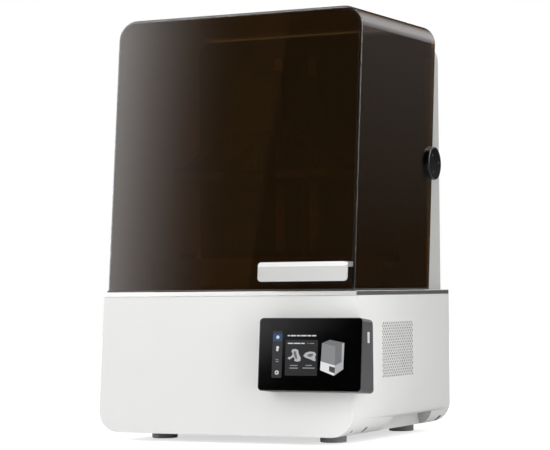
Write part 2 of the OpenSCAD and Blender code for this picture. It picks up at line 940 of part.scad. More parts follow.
module screw_nut()
    color("#b8923c")
        difference() {
            union() {
                translate([0, screw_y, carriage_z + carriage_h / 2 - nut_h / 2])
                    cylinder(r = nut_r, h = nut_h);
                translate([-nut_arm_w / 2, carriage_y + carriage_t, carriage_z + carriage_h / 2 - nut_h / 2])
                    cube([nut_arm_w, screw_y - carriage_y - carriage_t, nut_h]);
            }
            translate([0, screw_y, carriage_z]) cylinder(r = screw_r + run, h = carriage_h);
        }

// ---- Platform ----

module clamp_block()
    color("#6f7174")
        difference() {
            union() {
                translate([-clamp_w / 2, clamp_y - clamp_d / 2, clamp_z]) cube([clamp_w, clamp_d, clamp_h]);
                translate([-clamp_w / 2 + 8, clamp_y, clamp_z + 4])
                    cube([clamp_w - 16, carriage_y - clamp_y, clamp_h - 8]);
            }
            for (z = [0.14, 0.56])
                translate([-clamp_w / 2 + 5, clamp_y - clamp_d / 2 - past, clamp_z + z * clamp_h])
                    cube([clamp_w - 10, 2 + past, 0.3 * clamp_h]);
            for (i = [0 : 4], x = [-1, 1])
                translate([
                        x * clamp_w / 2 - rib_depth,
                        clamp_y - clamp_d / 2 + rib_edge,
                        clamp_z + rib_low + i * rib_pitch])
                    cube([2 * rib_depth, clamp_d - 2 * rib_edge, rib_h]);
            translate([0, clamp_y, clamp_top - clamp_pin_l - clamp_pin_play])
                cylinder(r = clamp_pin_r + run, h = clamp_pin_l + clamp_pin_play + past);
        }

module clamp_knob()
    color(black)
        translate([0, clamp_y, 0]) {
            difference() {
                translate([0, 0, clamp_top]) cylinder(r = clamp_knob_r, h = clamp_knob_h);
                for (a = [0 : 30 : 330])
                    rotate([0, 0, a])
                        translate([clamp_knob_r + scallop_out, 0, clamp_top - past])
                            cylinder(r = scallop_r, h = clamp_knob_h + 2 * past, $fn = 24);
            }
            translate([0, 0, clamp_top - clamp_pin_l]) cylinder(r = clamp_pin_r, h = clamp_pin_l + past);
        }

// One triangular gusset in (x, z), from the bridge's side out to the build plate's outer edge.
module gusset()
    difference() {
        polygon([
            [plate_gap / 2, plate_top],
            [plate_gap / 2 + plate_w, plate_top],
            [plate_gap / 2 + plate_w, plate_top + wing_bar],
            [bridge_w / 2, clamp_z],
            [plate_gap / 2 - 2, clamp_z],
            [plate_gap / 2 - 2, bridge_z]]);
        polygon([
            [plate_gap / 2 + wing_bar, plate_top + wing_bar],
            [plate_gap / 2 + plate_w - 2.2 * wing_bar, plate_top + wing_bar],
            [plate_gap / 2 + wing_bar, bridge_z - wing_bar / 2]]);
    }

module platform_bridge()
    color("#85878a") {
        translate([-bridge_w / 2, clamp_y - clamp_d / 2, bridge_z]) cube([bridge_w, clamp_d, bridge_t]);
        for (side = [0, 1], y = [clamp_y - clamp_d / 2, clamp_y + clamp_d / 2 - wing_bar])
            mirror([side, 0, 0]) along_y(y, y + wing_bar) gusset();
        for (side = [0, 1])
            mirror([side, 0, 0])
                translate([plate_gap / 2, vat_y - plate_d / 2, plate_top])
                    cube([plate_w, plate_d, wing_bar]);
    }

module build_plates()
    color("#a4a6a8")
        for (side = [0, 1])
            mirror([side, 0, 0])
                translate([plate_gap / 2, vat_y - plate_d / 2, plate_base])
                    cube([plate_w, plate_d, plate_t]);

// ---- Vat ----

module vat_posts()
    color("#4a4b4e")
        for (side = [0, 1])
            mirror([side, 0, 0])
                difference() {
                    translate([thumb_x - post_w / 2, thumb_y - post_w / 2, deck_z])
                        cube([post_w, post_w, lug_z]);
                    translate([thumb_x, thumb_y, lug_base - thumb_reach - past])
                        cylinder(r = thumb_shaft_r + run, h = thumb_reach + 2 * past);
                }

module vat_ring(w, d, r, z0, z1, wall)
    translate([0, vat_y, z0])
        linear_extrude(z1 - z0)
            difference() {
                rounded(w, d, r);
                rounded(w - 2 * wall, d - 2 * wall, r - min(wall, r - 3));
            }

module vat_body()
    color("#8f9194") {
        vat_ring(vat_w, vat_d, vat_corner_r, vat_z, vat_top, vat_wall);
        for (side = [0, 1])
            mirror([side, 0, 0])
                difference() {
                    translate([vat_w / 2 - vat_wall / 2, thumb_y - post_w / 2, lug_base])
                        cube([lug_reach + vat_wall / 2, post_w, lug_t]);
                    translate([thumb_x, thumb_y, lug_base - past])
                        cylinder(r = thumb_shaft_r + run, h = lug_t + 2 * past);
                }
    }

module vat_film()
    color("#cfd6da")
        translate([0, vat_y, film_z])
            linear_extrude(film_t)
                rounded(vat_w - 2 * film_inset, vat_d - 2 * film_inset, vat_corner_r - film_inset);

module film_frame()
    color("#6b6d70")
        vat_ring(vat_w - 2 * film_inset, vat_d - 2 * film_inset, vat_corner_r - film_inset,
            deck_z, film_z, film_frame_w);

module thumbscrew()
    translate([thumb_x, thumb_y, 0]) {
        difference() {
            translate([0, 0, lug_base + lug_t]) cylinder(r = thumb_r, h = thumb_h);
            for (a = [0 : 30 : 330])
                rotate([0, 0, a])
                    translate([thumb_r + 0.6, 0, lug_base + lug_t - past])
                        cylinder(r = 1.6, h = thumb_h + 2 * past, $fn = 24);
        }
        translate([0, 0, lug_base - thumb_reach])
            cylinder(r = thumb_shaft_r, h = thumb_reach + lug_t + past);
    }

module thumbscrew_left() color(black) mirror([1, 0, 0]) thumbscrew();

module thumbscrew_right() color(black) thumbscrew();

// ---- Cover ----

module cover_zone()
    lean_slab(0, cover_d * cos(front_lean));

module cover_shell()
    color(smoke)
        difference() {
            union() {
                intersection() {
                    difference() {
                        along_y(front_y, rear_y + base_d)
                            arch(cover_w, cover_z + trim_h, cover_top, cover_corner_r);
                        along_y(front_y - past, rear_y + base_d + past)
                            arch(cover_inner_w, cover_z - past, cover_top - cover_t,
                                cover_corner_r - cover_t);
                    }
                    lean_slab(cover_t, cover_d * cos(front_lean));
                }
                at_hinge() translate([0, 0, cover_w / 2 - cover_t]) cylinder(r = knob_r - 2, h = cover_t);
            }
            at_hinge() cylinder(r = hinge_pin_r + run, h = base_w);
        }

module cover_front()
    color(smoke)
        intersection() {
            along_y(front_y - past, rear_y)
                arch(cover_w, cover_z + trim_h, cover_top, cover_corner_r);
            lean_slab(0, cover_t);
        }

module cover_trim()
    color("#8a8784")
        difference() {
            intersection() {
                translate([-cover_w / 2, front_y - base_d / 4, cover_z]) cube([cover_w, 2 * base_d, trim_h]);
                cover_zone();
            }
            intersection() {
                translate([-cover_w / 2 + cover_t, front_y - base_d / 4, cover_z - past])
                    cube([cover_inner_w, 3 * base_d, trim_h + 2 * past]);
                lean_slab(cover_t, 3 * base_d);
            }
        }

module cover_handle()
    color(white)
        leaning()
            translate([handle_x, 0, deck_t + handle_z + handle_h / 2])
                union() {
                    along_y(-handle_reach, handle_t - handle_reach)
                        rounded(handle_w, handle_h, handle_corner_r);
                    translate([-handle_w / 2, handle_t - handle_reach, handle_h / 2 - handle_top_t])
                        cube([handle_w, handle_reach - handle_t, handle_top_t]);
                }

module hinge_pins()
    color("#9c9ea1")
        at_hinge()
            translate([0, 0, bearing_x])
                cylinder(r = hinge_pin_r, h = cover_w / 2 - bearing_x);

module hinge_knobs()
    color(black)
        at_hinge()
            translate([0, 0, cover_w / 2])
                rotate_extrude()
                    union() {
                        square([knob_r - knob_edge, knob_t]);
                        square([knob_r, knob_t - knob_edge]);
                        translate([knob_r - knob_edge, knob_t - knob_edge]) circle(knob_edge);
                    }

base_shell();
front_panel();
rear_panel();
feet();
deck_plate();
rear_housing();
housing_front();
air_filter();
chamber_fan_frame();
chamber_fan_rotor();
hinge_bearings();
lcd_glass();
lcd_panel();
light_tunnel();
lens_sheet();
led_board();
heat_sink();
exposure_fan_frame();
exposure_fan_rotor();
mainboard();
board_standoffs();
power_supply();
power_inlet();
power_rocker();
screen_housing();
screen_glass();
display_panel();
usb_socket();
z_column();
linear_rails();
column_cap();
z_motor();
screw_coupling();
lead_screw();
bearing_blocks();
carriage_plate();
screw_nut();
clamp_block();
platform_bridge();
build_plates();
clamp_knob();
vat_posts();
vat_body();
vat_film();
film_frame();
thumbscrew_left();
thumbscrew_right();
cover_shell();
cover_front();
cover_trim();
cover_handle();
hinge_pins();
hinge_knobs();
panel_screws();
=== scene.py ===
"""A resin printer with a flip-up smoked cover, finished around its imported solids."""
import json
import math

import bmesh
import bpy
from mathutils import Matrix, Vector

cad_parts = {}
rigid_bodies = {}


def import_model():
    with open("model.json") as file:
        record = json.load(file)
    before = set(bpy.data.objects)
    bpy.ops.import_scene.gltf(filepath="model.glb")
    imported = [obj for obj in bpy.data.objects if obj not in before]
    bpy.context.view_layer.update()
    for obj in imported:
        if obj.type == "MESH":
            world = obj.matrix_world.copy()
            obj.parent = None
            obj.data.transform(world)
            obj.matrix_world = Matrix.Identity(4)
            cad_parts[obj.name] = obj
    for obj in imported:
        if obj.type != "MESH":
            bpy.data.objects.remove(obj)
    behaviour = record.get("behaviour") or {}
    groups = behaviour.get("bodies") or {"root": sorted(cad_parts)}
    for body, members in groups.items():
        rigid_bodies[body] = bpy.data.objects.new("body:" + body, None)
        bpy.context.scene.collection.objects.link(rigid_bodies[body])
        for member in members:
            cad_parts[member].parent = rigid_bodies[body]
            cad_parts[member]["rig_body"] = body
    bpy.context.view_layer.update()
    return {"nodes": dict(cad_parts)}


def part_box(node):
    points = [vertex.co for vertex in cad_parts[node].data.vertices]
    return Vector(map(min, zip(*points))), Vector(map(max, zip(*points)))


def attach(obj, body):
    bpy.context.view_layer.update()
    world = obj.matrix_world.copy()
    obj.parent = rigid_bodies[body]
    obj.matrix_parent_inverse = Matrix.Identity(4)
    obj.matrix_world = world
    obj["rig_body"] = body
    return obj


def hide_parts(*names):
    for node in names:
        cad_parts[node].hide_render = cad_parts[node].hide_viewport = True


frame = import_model()

# ---- Camera ----
# A long lens stands a little above table height, to the right of the printer's front.
# It is 2.7 m away, so that the sides hardly taper.
MM = 0.001
SENSOR_MM = 36
PICTURE_WIDTH_PX = 550
FOCAL_PX = 2055.8
camera_place = Vector((1183.4, -2423.1, 189.5)) * MM
camera_yaw, camera_pitch, camera_roll = 26.155, 1.799, -0.535

lens = bpy.data.cameras.new("product_lens")
lens.sensor_width = SENSOR_MM
lens.lens = lens.sensor_width * FOCAL_PX / PICTURE_WIDTH_PX
lens.clip_start, lens.clip_end = 0.05, 60
camera = bpy.data.objects.new("product_camera", lens)
turn = (Matrix.Rotation(math.radians(camera_yaw), 4, "Z")
        @ Matrix.Rotation(math.radians(90 + camera_pitch), 4, "X")
        @ Matrix.Rotation(math.radians(camera_roll), 4, "Z"))
camera.matrix_world = Matrix.Translation(camera_place) @ turn
bpy.context.scene.collection.objects.link(camera)
bpy.context.scene.camera = camera
bpy.context.scene.view_settings.view_transform = "Standard"


# ---- Studio ----
# White paper under large soft lights. The paper reads white to the lens and keeps the soft shadow.
# Polished pieces mirror a tall light at the left, one overhead, a lit desk and a strip behind.
def linear(code):
    """A hex colour as it is seen, turned into the linear values that shaders take."""
    parts = [int(code[i:i + 2], 16) / 255 for i in (1, 3, 5)]
    return [p / 12.92 if p <= 0.04045 else ((p + 0.055) / 1.055) ** 2.4 for p in parts] + [1]


def add(tree, kind, inputs=None, **settings):
    """Adds a node, sets its options, and fills its inputs or links them to other nodes."""
    node = tree.nodes.new("ShaderNode" + kind)
    for name, value in settings.items():
        setattr(node, name, value)
    for name, value in (inputs or {}).items():
        source = value.outputs[0] if isinstance(value, bpy.types.Node) else value
        if isinstance(source, bpy.types.NodeSocket):
            tree.links.new(source, node.inputs[name])
        else:
            node.inputs[name].default_value = source
    return node


ROOM_FILL, FILL_RIGHT, ROOM_DARK = 0.68, 0.42, 0.012
SIDE_FROM, SIDE_FULL, SIDE_ROOT, SIDE_POWER = 0.484, 0.5548, 1.7, 3.0
DESK_LIGHT, DESK_SLOPE, DESK_OFFSET = 1.35, 85.7, -38.52
TOP_FAINT, TOP_LOW, TOP_HIGH = 0.13, 0.6, 2.0
RIM_LOW, RIM_HIGH = 1.2, 5.0
STRAIGHT, SMOOTH = "LINEAR", "SMOOTHSTEP"

room = bpy.data.worlds.new("paper_room")
room.use_nodes = True
bpy.context.scene.world = room
tree = room.node_tree
tree.nodes.clear()
look = add(tree, "SeparateXYZ", {0: add(tree, "TexCoord").outputs["Generated"]}).outputs
left = add(tree, "Math", {0: look["X"], 1: -1.0}, operation="MULTIPLY")
front = add(tree, "Math", {0: look["Y"], 1: -1.0}, operation="MULTIPLY")
leftward = add(tree, "Math", {0: left, 1: front}, operation="ARCTAN2")
backward = add(tree, "Math", {0: look["X"], 1: look["Y"]}, operation="ARCTAN2")
across = add(tree, "Math", {0: look["Z"], 1: DESK_SLOPE, 2: DESK_OFFSET}, operation="MULTIPLY_ADD")
degrees = add(tree, "Math", {0: leftward}, operation="DEGREES")
over_edge = add(tree, "Math", {0: across, 1: degrees}, operation="ADD")

# Each ramp: what it reads, where it starts and ends, the strength before and after, and how it runs.
ramps = {
    "side_start": (leftward, SIDE_FROM, SIDE_FULL, 0.0, SIDE_ROOT, STRAIGHT),
    "side_end": (leftward, math.radians(75), math.radians(110), 1.0, 0.25, SMOOTH),
    "side_back": (leftward, math.radians(130), math.radians(150), 1.0, 0.0, SMOOTH),
    "desk_start": (over_edge, 0.0, 2.67, 0.0, DESK_LIGHT, STRAIGHT),
    "desk_end": (look["Z"], 0.166, 0.170, 1.0, 0.0, STRAIGHT),
    "top_faint": (look["Z"], 0.02, 0.117, 0.0, TOP_FAINT, STRAIGHT),
    "top_edge": (look["Z"], 0.122, 0.13, 0.0, TOP_LOW - TOP_FAINT, STRAIGHT),
    "top_rise": (look["Z"], 0.115, 0.33, 0.0, TOP_HIGH - TOP_LOW, SMOOTH),
    "top_behind": (look["Y"], -0.3, 0.3, 0.0, 1.0, SMOOTH),
    "top_right": (look["X"], -0.25, 0.35, 0.0, 1.0, SMOOTH),
    "rim_start": (backward, math.radians(38), math.radians(42), 0.0, 1.0, STRAIGHT),
    "rim_end": (backward, math.radians(55), math.radians(65), 1.0, 0.0, STRAIGHT),
    "rim_rise": (look["Z"], 0.01, 0.15, RIM_LOW, RIM_HIGH, STRAIGHT),
    "rim_foot": (look["Z"], 0.0, 0.02, 0.0, 1.0, STRAIGHT),
    "room_fill": (look["X"], 0.2, 1.0, ROOM_FILL, FILL_RIGHT, STRAIGHT),
}
glows = {}
for name, (source, start, end, before, after, run) in ramps.items():
    glows[name] = add(tree, "MapRange", {
        "Value": source, "From Min": start, "From Max": end, "To Min": before, "To Max": after},
        interpolation_type=run)
glows["side_rise"] = add(tree, "Math", {0: glows["side_start"], 1: SIDE_POWER}, operation="POWER")

# Each step: its result, then the two values that it adds or multiplies.
steps = (
    ("side_body", "side_rise", "side_end", "MULTIPLY"),
    ("side_light", "side_body", "side_back", "MULTIPLY"),
    ("desk_light", "desk_start", "desk_end", "MULTIPLY"),
    ("top_sill", "top_faint", "top_edge", "ADD"),
    ("top_height", "top_sill", "top_rise", "ADD"),
    ("top_place", "top_behind", "top_right", "MULTIPLY"),
    ("top_light", "top_height", "top_place", "MULTIPLY"),
    ("rim_width", "rim_start", "rim_end", "MULTIPLY"),
    ("rim_body", "rim_width", "rim_rise", "MULTIPLY"),
    ("rim_light", "rim_body", "rim_foot", "MULTIPLY"),
    ("boxes", "side_light", "top_light", "ADD"),
    ("low_lights", "desk_light", "rim_light", "ADD"),
    ("lights", "boxes", "low_lights", "ADD"),
)
for result, one, other, operation in steps:
    glows[result] = add(tree, "Math", {0: glows[one], 1: glows[other]}, operation=operation)
mirrored = add(tree, "Math", {0: glows["lights"], 1: ROOM_DARK}, operation="ADD")
path = add(tree, "LightPath").outputs
seen = add(tree, "Math", {0: path["Is Camera Ray"], 1: path["Is Transmission Ray"]}, operation="MAXIMUM")
fill = add(tree, "Mix", {0: path["Is Glossy Ray"], 2: glows["room_fill"], 3: mirrored})
strength = add(tree, "Mix", {0: seen, 2: fill, 3: 1.0})
glow = add(tree, "Background", {"Color": linear("#ffffff"), "Strength": strength})
add(tree, "OutputWorld", {"Surface": glow})

PAPER_RADIUS_M, PAPER_GRAIN, PAPER_GLOW = 6.0, 180.0, 0.62
white_paper = bpy.data.materials.new("white_paper")
white_paper.use_nodes = True
tree = white_paper.node_tree
tree.nodes.clear()
grain = add(tree, "TexNoise", {"Scale": PAPER_GRAIN, "Detail": 3.0})
tone = add(tree, "Mix", {0: grain, 6: linear("#f4f4f3"), 7: linear("#f9f9f8")}, data_type="RGBA")
matt = add(tree, "BsdfDiffuse", {"Color": tone.outputs[2]})
lift = add(tree, "Emission", {"Color": linear("#ffffff"), "Strength": PAPER_GLOW})
lifted = add(tree, "AddShader", {0: matt, 1: lift})
to_lens = add(tree, "LightPath").outputs["Is Camera Ray"]
add(tree, "OutputMaterial", {"Surface": add(tree, "MixShader", {0: to_lens, 1: matt, 2: lifted})})

bm = bmesh.new()
bmesh.ops.create_circle(bm, cap_ends=True, segments=96, radius=PAPER_RADIUS_M)
paper_mesh = bpy.data.meshes.new("paper_floor")
bm.to_mesh(paper_mesh)
bm.free()
paper_mesh.materials.append(white_paper)
paper = bpy.data.objects.new("paper_floor", paper_mesh)
bpy.context.scene.collection.objects.link(paper)

# Each soft box: where it stands, how wide and how tall it is, all in metres, and its watts.
soft_boxes = {
    "left_soft_box": ((-1.3, -1.5, 0.9), 1.2, 1.4, 9),
    "right_soft_box": ((0.40, -0.32, 0.16), 0.2, 0.5, 0.72),
    "top_soft_box": ((0.0, 0.1, 2.1), 1.6, 1.4, 6),
}
MIDDLE = Vector((0, 0, 0.25))
for name, (place, width, height, watts) in soft_boxes.items():
    lamp = bpy.data.lights.new(name, "AREA")
    lamp.shape = "RECTANGLE"
    lamp.size, lamp.size_y, lamp.energy = width, height, watts
    lamp_object = bpy.data.objects.new(name, lamp)
    aim = MIDDLE - Vector(place)
    lamp_object.rotation_euler = aim.to_track_quat("-Z", "Y").to_euler()
    lamp_object.location = place
    lamp_object.visible_glossy = False
    bpy.context.scene.collection.objects.link(lamp_object)


# ---- Base mouldings ----
# The base is a U-shaped shell with a leaning front panel and a flat rear panel, moulded in white ABS
# from spark-eroded tools, which leaves a dull, even skin. Only the outer edges are eased, so the
# panels meet in a thin, straight line.
def new_material(name):
    """A material, its node tree, its main shader, and where each point of the piece lies."""
    material = bpy.data.materials.new(name)
    material.use_nodes = True
    tree = material.node_tree
    return material, tree, tree.nodes["Principled BSDF"], add(tree, "TexCoord").outputs["Object"]


def moulded_abs(name, colour, deeper, roughness):
    """ABS from a spark-eroded mould: a fine pebble of about 1.5 mm, drawn coarser than the real 0.1 mm."""
    material, tree, skin, place = new_material(name)
    pebble = add(tree, "TexNoise", {"Vector": place, "Scale": 1 / (1.5 * MM), "Detail": 3.0})
    drift = add(tree, "TexNoise", {"Vector": place, "Scale": 1 / (70 * MM), "Detail": 1.0})
    tone = add(tree, "Mix", {0: drift, 6: linear(colour), 7: linear(deeper)}, data_type="RGBA")
    shine = add(tree, "MapRange", {
        "Value": pebble, "To Min": roughness - 0.06, "To Max": roughness + 0.06})
    relief = add(tree, "Bump", {"Height": pebble, "Strength": 0.12, "Distance": 0.05 * MM})
    tree.links.new(tone.outputs[2], skin.inputs["Base Color"])
    tree.links.new(shine.outputs[0], skin.inputs["Roughness"])
    tree.links.new(relief.outputs[0], skin.inputs["Normal"])
    skin.inputs["IOR"].default_value = 1.53
    return material


def placed(bm, name, body, finish, stands_for=(), crease=35, unit=1.0):
    """Turns a finished bmesh into a piece that rides on its body."""
    bmesh.ops.scale(bm, vec=(unit, unit, unit), verts=bm.verts)
    mesh = bpy.data.meshes.new(name)
    bm.to_mesh(mesh)
    bm.free()
    mesh.shade_smooth()
    mesh.set_sharp_from_angle(angle=math.radians(crease))
    for material in finish if isinstance(finish, list) else [finish]:
        mesh.materials.append(material)
    piece = bpy.data.objects.new(name, mesh)
    bpy.context.scene.collection.objects.link(piece)
    even = piece.modifiers.new("even_shading", "WEIGHTED_NORMAL")
    even.keep_sharp = True
    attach(piece, body)
    if stands_for:
        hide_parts(*stands_for)
    return piece


def eased(node, name, finish, radius, at=None, flats=True, segments=3, sharp=30, reshape=None,
          crease=35):
    """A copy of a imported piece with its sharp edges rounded, standing for the plain one."""
    source = frame["nodes"][node]
    bm = bmesh.new()
    bm.from_mesh(source.data)
    bmesh.ops.remove_doubles(bm, verts=bm.verts, dist=1e-6)
    if flats:
        bmesh.ops.dissolve_limit(bm, angle_limit=math.radians(1), verts=bm.verts, edges=bm.edges)
    if reshape:
        reshape(bm)
    edges = [e for e in bm.edges if len(e.link_faces) == 2
             and e.calc_face_angle() > math.radians(sharp) and (at is None or at(e))]
    made = bmesh.ops.bevel(bm, geom=edges, offset=radius * MM, offset_type="OFFSET", affect="EDGES",
                           segments=segments, profile=0.5, material=-1, clamp_overlap=True)
    if isinstance(finish, list):
        for face in made["faces"]:
            face.material_index = 1
    return placed(bm, name, source["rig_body"], finish, stands_for=(node,), crease=crease)


def finished(node, *materials):
    """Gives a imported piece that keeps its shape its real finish."""
    mesh = frame["nodes"][node].data
    mesh.materials.clear()
    for material in materials:
        mesh.materials.append(material)


shell_low, shell_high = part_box("base_shell")
deck_low, deck_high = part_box("deck_plate")
panel_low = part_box("front_panel")[0]
rear_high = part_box("rear_panel")[1]
seam = deck_low.z
half_base = shell_high.x
lean_angle = math.atan2(deck_low.y - panel_low.y, seam - panel_low.z)
EDGE = 0.2 * MM


def front_plane(z):
    """How far back the leaning front lies at a height."""
    return deck_low.y + (z - seam) * math.tan(lean_angle)


white_abs = moulded_abs("white_moulded_abs", "#eeeeed", "#eaeae9", roughness=0.44)
eased("front_panel", "front_moulding", white_abs, radius=1.2,
      at=lambda e: all(v.co.y < front_plane(v.co.z) + EDGE for v in e.verts)
      or all(abs(v.co.x) > half_base - EDGE for v in e.verts))
# A greyer copy of the white ABS: painted shade for the recesses' rear ends and the vent holes' walls.
recess_shade_abs = moulded_abs("white_abs_painted_shade", "#b1b1b0", "#adadac", roughness=0.5)
RECESS_BACK, RECESS_TOP, RECESS_INSIDE = 30 * MM, 45 * MM, 140 * MM
WALL_T, VENT_Y, VENT_Z, VENT_LONG, VENT_TALL = 3 * MM, -25.5 * MM, 113.5 * MM, 104 * MM, 76 * MM
PAINTED_SHADE_SLOT = 2
# The share of its normal that a face has along an axis: when it leans that way, half, or square on.
LEANING, HALFWAY, SQUARE = 0.3, 0.5, 0.9


def paint_wall_shade(bm):
    """Gives the hand recesses' rear ends and the walls of the vent holes a greyer copy of the white, as
    painted shade.
    """
    for face in bm.faces:
        middle = face.calc_center_median()
        in_recess = middle.y > RECESS_BACK and middle.z < RECESS_TOP and abs(middle.x) > RECESS_INSIDE
        if in_recess and face.normal.y < -LEANING:
            face.material_index = PAINTED_SHADE_SLOT
        in_vent = abs(middle.y - VENT_Y) < VENT_LONG / 2 and abs(middle.z - VENT_Z) < VENT_TALL / 2
        if in_vent and abs(middle.x) > half_base - WALL_T - EDGE and abs(face.normal.x) < HALFWAY:
            face.material_index = PAINTED_SHADE_SLOT


eased("base_shell", "shell_moulding", [white_abs, white_abs, recess_shade_abs],
      radius=0.7, flats=False, segments=6, crease=18, reshape=paint_wall_shade,
      at=lambda e: all(v.co.z > seam - EDGE and abs(v.co.x) > half_base - EDGE for v in e.verts))
OUTLINE_BAND = 30 * MM
eased("rear_panel", "rear_moulding", white_abs, radius=1.0,
      at=lambda e: all(v.co.y > rear_high.y - EDGE for v in e.verts)
      and any(abs(v.co.x) > half_base - OUTLINE_BAND or v.co.z < shell_low.z + EDGE for v in e.verts))

# ---- Base slots ----
# Two long slots and a short one are let into the rounding low on each side of the base. They are
# moulded with the shell. Each is drawn as a thin dark band on the rounding: painted shade for its opening.
BASE_R, SLOT_ANGLE, SLOT_PROUD, SLOT_DEEP = 28.5, -51, 0.06, 0.4
SLOTS = ((-109, 5.5, 9.5), (134.0, 8.0, 10.0), (-148.5, 3.0, 4.5))
bm = bmesh.new()
for side in (-1, 1):
    middle = Vector((side * (half_base / MM - BASE_R), 0, shell_low.z / MM + BASE_R))
    for back, wide, long in SLOTS:
        half_turn = long / 2 / BASE_R
        start = Matrix.Rotation(-side * (math.radians(SLOT_ANGLE) - half_turn), 3, "Y")
        bottom, top = BASE_R - SLOT_DEEP, BASE_R + SLOT_PROUD
        near, far = back - wide / 2, back + wide / 2
        section = [bm.verts.new(middle + start @ Vector((side * out, 0, 0)) + Vector((0, along, 0)))
                   for out, along in ((bottom, near), (top, near), (top, far), (bottom, far))]
        bmesh.ops.spin(bm, geom=[bm.faces.new(section)], cent=middle, axis=(0, -side, 0),
                       angle=2 * half_turn, steps=8, use_merge=False)
bmesh.ops.recalc_face_normals(bm, faces=bm.faces)
# The slots' dark is painted shade for their openings.
slot_shade = moulded_abs("slot_painted_shade", "#3a3a3a", "#343434", roughness=0.8)
placed(bm, "base_slots", "base", slot_shade, unit=MM)

# ---- Feet ----
# Four round feet of grey rubber, moulded and then stuck to the underside. Dust leaves them dull and
# a little mottled.
rubber, tree, skin, place = new_material("moulded_rubber")
dust = add(tree, "TexNoise", {"Vector": place, "Scale": 1 / (4 * MM), "Detail": 5.0})
tone = add(tree, "Mix", {0: dust, 6: linear("#9c9c9e"), 7: linear("#a8a8aa")}, data_type="RGBA")
tree.links.new(tone.outputs[2], skin.inputs["Base Color"])
tree.links.new(add(tree, "Bump", {"Height": dust, "Strength": 0.3, "Distance": 0.1 * MM}).outputs[0],
               skin.inputs["Normal"])
skin.inputs["Roughness"].default_value = 0.6
eased("feet", "rubber_feet", rubber, radius=1.2)


# ---- Deck ----
# The deck is a plate of satin anodised aluminium that lies over the whole base. Its two sides are
# given a darker copy of the metal, which is painted shade.
def satin_metal(name, colour, worn, roughness, grain=(1, 1, 1), grain_mm=0.6, relief=0.1):
    """Machined metal: grain is how much shorter the marks are along each axis than they are wide."""
    material, tree, skin, place = new_material(name)
    turned = add(tree, "Mapping", {"Vector": place, "Scale": grain})
    marks = add(tree, "TexNoise", {"Vector": turned, "Scale": 1 / (grain_mm * MM), "Detail": 3.0})
    drift = add(tree, "TexNoise", {"Vector": place, "Scale": 1 / (40 * MM), "Detail": 2.0})
    tone = add(tree, "Mix", {0: drift, 6: linear(colour), 7: linear(worn)}, data_type="RGBA")
    shine = add(tree, "MapRange", {
        "Value": marks, "To Min": roughness - 0.08, "To Max": roughness + 0.08})
    cut = add(tree, "Bump", {"Height": marks, "Strength": relief, "Distance": 0.05 * MM})
    tree.links.new(tone.outputs[2], skin.inputs["Base Color"])
    tree.links.new(shine.outputs[0], skin.inputs["Roughness"])
    tree.links.new(cut.outputs[0], skin.inputs["Normal"])
    skin.inputs["Metallic"].default_value = 1.0
    return material


deck_metal = satin_metal("satin_anodised_aluminium", "#bcbcbb", "#b4b4b3", roughness=0.42)
# The sides' darker metal is painted shade.
deck_side_shade_metal = satin_metal("aluminium_painted_side_shade", "#8a8a89", "#7e7e7d", roughness=0.3)
SIDE_SHADE_SLOT = 2


def shade_deck_sides(bm):
    """Gives the deck's two sides their darker metal, which is painted shade."""
    for face in bm.faces:
        if abs(face.normal.x) > SQUARE and abs(face.calc_center_median().x) > half_base - EDGE:
            face.material_index = SIDE_SHADE_SLOT


eased("deck_plate", "deck_sheet", [deck_metal, deck_metal, deck_side_shade_metal], radius=0.6,
      reshape=shade_deck_sides,
      at=lambda e: all(abs(v.co.x) > half_base - EDGE or v.co.y < front_plane(v.co.z) + EDGE
                       or v.co.y > deck_high.y - EDGE for v in e.verts))

# ---- Rear housing ----
# A tall box of pale grey ABS behind the chamber carries the cover's hinge. Its front is dark ABS with a
# grille of small diamonds, a pleated filter and a fan sit behind that, and a thin dark flange reaches
# back from it to close the gap under the cover.
grey_abs = moulded_abs("pale_grey_moulded_abs", "#cececc", "#c9c9c7", roughness=0.46)
dark_abs = moulded_abs("dark_moulded_abs", "#3d3d3f", "#38383a", roughness=0.5)
black_abs = moulded_abs("black_moulded_abs", "#1f1f20", "#1a1a1b", roughness=0.42)
housing_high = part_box("rear_housing")[1]
ROUND_BAND = 24 * MM
eased("rear_housing", "housing_moulding", grey_abs, radius=2.0,
      at=lambda e: all(v.co.y > housing_high.y - EDGE for v in e.verts)
      and any(abs(v.co.x) > housing_high.x - ROUND_BAND for v in e.verts)
      and all(abs(v.co.x) > housing_high.x - EDGE or v.co.z > housing_high.z - ROUND_BAND
              for v in e.verts))
finished("housing_front", dark_abs)
bulkhead_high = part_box("housing_front")[1] / MM
FLANGE_R, FLANGE_WALL, FLANGE_DEEP, FLANGE_FOOT, ARC_STEPS = 18, 2, 27, 494, 12
arc_x, arc_z = bulkhead_high.x - FLANGE_R, bulkhead_high.z - FLANGE_R
outline = [(bulkhead_high.x, FLANGE_FOOT, 1, 0)]
for side, start in ((1, 0), (-1, 90)):
    for i in range(ARC_STEPS + 1):
        a = math.radians(start + 90 * i / ARC_STEPS)
        out, up = math.cos(a), math.sin(a)
        outline.append((side * arc_x + FLANGE_R * out, arc_z + FLANGE_R * up, out, up))
outline.append((-bulkhead_high.x, FLANGE_FOOT, -1, 0))
bm = bmesh.new()
band = [[bm.verts.new((x - FLANGE_WALL * deep * nx, bulkhead_high.y, z - FLANGE_WALL * deep * nz))
         for x, z, nx, nz in outline] for deep in (0, 1)]
for i in range(len(outline) - 1):
    bm.faces.new((band[0][i], band[0][i + 1], band[1][i + 1], band[1][i]))
made = bmesh.ops.extrude_face_region(bm, geom=list(bm.faces))["geom"]
back_verts = [part for part in made if isinstance(part, bmesh.types.BMVert)]
bmesh.ops.translate(bm, vec=(0, FLANGE_DEEP, 0), verts=back_verts)
bmesh.ops.recalc_face_normals(bm, faces=bm.faces)
placed(bm, "bulkhead_flange", "base", dark_abs, unit=MM)

